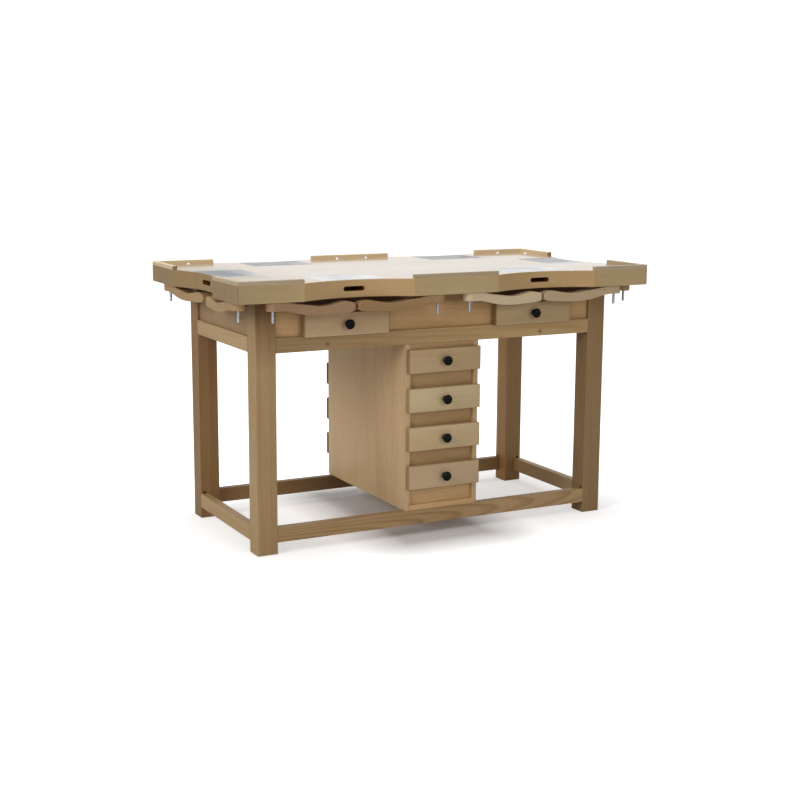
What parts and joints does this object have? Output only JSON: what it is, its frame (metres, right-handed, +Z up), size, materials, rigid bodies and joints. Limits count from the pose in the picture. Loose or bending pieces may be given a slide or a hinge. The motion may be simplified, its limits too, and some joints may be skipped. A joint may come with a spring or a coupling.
{
  "type": "jewelers bench",
  "caption": "Free-standing wooden jeweller's bench with scalloped work places, swinging armrests, raised rims, metal-faced places, apron drawers and a central drawer pedestal.",
  "frame": {"origin": "on the floor, midway between the four legs", "axes": "+X along the bench to the right, +Y to the back, +Z up; the front, with -Y outwards, is the long side with the pedestal's left drawers facing it"},
  "size_m": [1.526, 0.826, 0.9],
  "materials": {
    "beech_upright": "satin clear lacquer on pale beech, grain upright",
    "beech_rail": "satin clear lacquer on pale beech, grain along the rail",
    "beech_top": "glossy clear lacquer on pale laminated beech",
    "beech_rim": "satin clear lacquer on pale beech",
    "beech_arm": "satin clear lacquer on pale beech, grain along the arm",
    "beech_drawer": "satin clear lacquer on pale beech, grain across the front",
    "beech_inner": "plain pale beech",
    "steel_plate": "bright rolled sheet, let in flush",
    "zinc_hardware": "zinc plated",
    "black_knob": "glossy black"
  },
  "bodies": {
    "bench": {"leg_front_left": "beech_upright", "leg_front_right": "beech_upright", "leg_back_left": "beech_upright", "leg_back_right": "beech_upright", "stretcher_front": "beech_rail", "stretcher_right": "beech_rail", "stretcher_back": "beech_rail", "stretcher_left": "beech_rail", "rail_front": "beech_rail", "rail_right": "beech_rail", "rail_back": "beech_rail", "rail_left": "beech_rail", "apron_front": "beech_rail", "apron_right": "beech_rail", "apron_back": "beech_rail", "apron_left": "beech_rail", "worktop": "beech_top", "place_boards": "beech_top", "edge_rims": "beech_rim", "scallop_plates": "steel_plate", "armrest_hardware": "zinc_hardware", "pedestal_sides": "beech_upright", "pedestal_boards": "beech_inner", "drawer_runners": "beech_inner"},
    "arm_front_left_left": {"armrest_front_left_left": "beech_arm"},
    "arm_front_left_right": {"armrest_front_left_right": "beech_arm"},
    "arm_front_right_left": {"armrest_front_right_left": "beech_arm"},
    "arm_front_right_right": {"armrest_front_right_right": "beech_arm"},
    "arm_right_end_left": {"armrest_right_end_left": "beech_arm"},
    "arm_right_end_right": {"armrest_right_end_right": "beech_arm"},
    "arm_back_right_left": {"armrest_back_right_left": "beech_arm"},
    "arm_back_right_right": {"armrest_back_right_right": "beech_arm"},
    "arm_back_left_left": {"armrest_back_left_left": "beech_arm"},
    "arm_back_left_right": {"armrest_back_left_right": "beech_arm"},
    "arm_left_end_left": {"armrest_left_end_left": "beech_arm"},
    "arm_left_end_right": {"armrest_left_end_right": "beech_arm"},
    "drawer_apron_front_left_body": {"drawer_apron_front_left": "beech_drawer", "knob_apron_front_left": "black_knob"},
    "drawer_apron_front_right_body": {"drawer_apron_front_right": "beech_drawer", "knob_apron_front_right": "black_knob"},
    "drawer_apron_back_left_body": {"drawer_apron_back_left": "beech_drawer", "knob_apron_back_left": "black_knob"},
    "drawer_apron_back_right_body": {"drawer_apron_back_right": "beech_drawer", "knob_apron_back_right": "black_knob"},
    "drawer_pedestal_front_1_body": {"drawer_pedestal_front_1": "beech_drawer", "knob_pedestal_front_1": "black_knob"},
    "drawer_pedestal_front_2_body": {"drawer_pedestal_front_2": "beech_drawer", "knob_pedestal_front_2": "black_knob"},
    "drawer_pedestal_front_3_body": {"drawer_pedestal_front_3": "beech_drawer", "knob_pedestal_front_3": "black_knob"},
    "drawer_pedestal_front_4_body": {"drawer_pedestal_front_4": "beech_drawer", "knob_pedestal_front_4": "black_knob"},
    "drawer_pedestal_back_1_body": {"drawer_pedestal_back_1": "beech_drawer", "knob_pedestal_back_1": "black_knob"},
    "drawer_pedestal_back_2_body": {"drawer_pedestal_back_2": "beech_drawer", "knob_pedestal_back_2": "black_knob"},
    "drawer_pedestal_back_3_body": {"drawer_pedestal_back_3": "beech_drawer", "knob_pedestal_back_3": "black_knob"},
    "drawer_pedestal_back_4_body": {"drawer_pedestal_back_4": "beech_drawer", "knob_pedestal_back_4": "black_knob"}
  },
  "joints": [
    {"name": "swing_front_left_left", "type": "hinge", "parent": "bench", "child": "arm_front_left_left", "pos_m": [-0.64, -0.389, 0.8167], "axis": [0, 0, -1], "range_deg": [-4.5, 94.5]},
    {"name": "swing_front_left_right", "type": "hinge", "parent": "bench", "child": "arm_front_left_right", "pos_m": [-0.06, -0.389, 0.8167], "axis": [0, 0, 1], "range_deg": [-4.5, 94.5]},
    {"name": "swing_front_right_left", "type": "hinge", "parent": "bench", "child": "arm_front_right_left", "pos_m": [0.06, -0.389, 0.8167], "axis": [0, 0, -1], "range_deg": [-4.5, 94.5]},
    {"name": "swing_front_right_right", "type": "hinge", "parent": "bench", "child": "arm_front_right_right", "pos_m": [0.64, -0.389, 0.8167], "axis": [0, 0, 1], "range_deg": [-4.5, 94.5]},
    {"name": "swing_right_end_left", "type": "hinge", "parent": "bench", "child": "arm_right_end_left", "pos_m": [0.728, -0.325, 0.8167], "axis": [0, 0, -1], "range_deg": [-9, 90]},
    {"name": "swing_right_end_right", "type": "hinge", "parent": "bench", "child": "arm_right_end_right", "pos_m": [0.728, 0.325, 0.8167], "axis": [0, 0, 1], "range_deg": [-9, 90]},
    {"name": "swing_back_right_left", "type": "hinge", "parent": "bench", "child": "arm_back_right_left", "pos_m": [0.64, 0.389, 0.8167], "axis": [0, 0, -1], "range_deg": [-9, 90]},
    {"name": "swing_back_right_right", "type": "hinge", "parent": "bench", "child": "arm_back_right_right", "pos_m": [0.06, 0.389, 0.8167], "axis": [0, 0, 1], "range_deg": [-9, 90]},
    {"name": "swing_back_left_left", "type": "hinge", "parent": "bench", "child": "arm_back_left_left", "pos_m": [-0.06, 0.389, 0.8167], "axis": [0, 0, -1], "range_deg": [-9, 90]},
    {"name": "swing_back_left_right", "type": "hinge", "parent": "bench", "child": "arm_back_left_right", "pos_m": [-0.64, 0.389, 0.8167], "axis": [0, 0, 1], "range_deg": [-9, 90]},
    {"name": "swing_left_end_left", "type": "hinge", "parent": "bench", "child": "arm_left_end_left", "pos_m": [-0.728, 0.325, 0.8167], "axis": [0, 0, -1], "range_deg": [-2, 97]},
    {"name": "swing_left_end_right", "type": "hinge", "parent": "bench", "child": "arm_left_end_right", "pos_m": [-0.728, -0.325, 0.8167], "axis": [0, 0, 1], "range_deg": [-5.5, 93.5]},
    {"name": "slide_apron_front_left", "type": "slide", "parent": "bench", "child": "drawer_apron_front_left_body", "axis": [0, -1, 0], "range_m": [0, 0.2]},
    {"name": "slide_apron_front_right", "type": "slide", "parent": "bench", "child": "drawer_apron_front_right_body", "axis": [0, -1, 0], "range_m": [0, 0.2]},
    {"name": "slide_apron_back_left", "type": "slide", "parent": "bench", "child": "drawer_apron_back_left_body", "axis": [0, 1, 0], "range_m": [0, 0.2]},
    {"name": "slide_apron_back_right", "type": "slide", "parent": "bench", "child": "drawer_apron_back_right_body", "axis": [0, 1, 0], "range_m": [0, 0.2]},
    {"name": "slide_pedestal_front_1", "type": "slide", "parent": "bench", "child": "drawer_pedestal_front_1_body", "axis": [0, -1, 0], "range_m": [0, 0.22]},
    {"name": "slide_pedestal_front_2", "type": "slide", "parent": "bench", "child": "drawer_pedestal_front_2_body", "axis": [0, -1, 0], "range_m": [0, 0.22]},
    {"name": "slide_pedestal_front_3", "type": "slide", "parent": "bench", "child": "drawer_pedestal_front_3_body", "axis": [0, -1, 0], "range_m": [0, 0.22]},
    {"name": "slide_pedestal_front_4", "type": "slide", "parent": "bench", "child": "drawer_pedestal_front_4_body", "axis": [0, -1, 0], "range_m": [0, 0.22]},
    {"name": "slide_pedestal_back_1", "type": "slide", "parent": "bench", "child": "drawer_pedestal_back_1_body", "axis": [0, 1, 0], "range_m": [0, 0.22]},
    {"name": "slide_pedestal_back_2", "type": "slide", "parent": "bench", "child": "drawer_pedestal_back_2_body", "axis": [0, 1, 0], "range_m": [0, 0.22]},
    {"name": "slide_pedestal_back_3", "type": "slide", "parent": "bench", "child": "drawer_pedestal_back_3_body", "axis": [0, 1, 0], "range_m": [0, 0.22]},
    {"name": "slide_pedestal_back_4", "type": "slide", "parent": "bench", "child": "drawer_pedestal_back_4_body", "axis": [0, 1, 0], "range_m": [0, 0.22]}
  ]
}
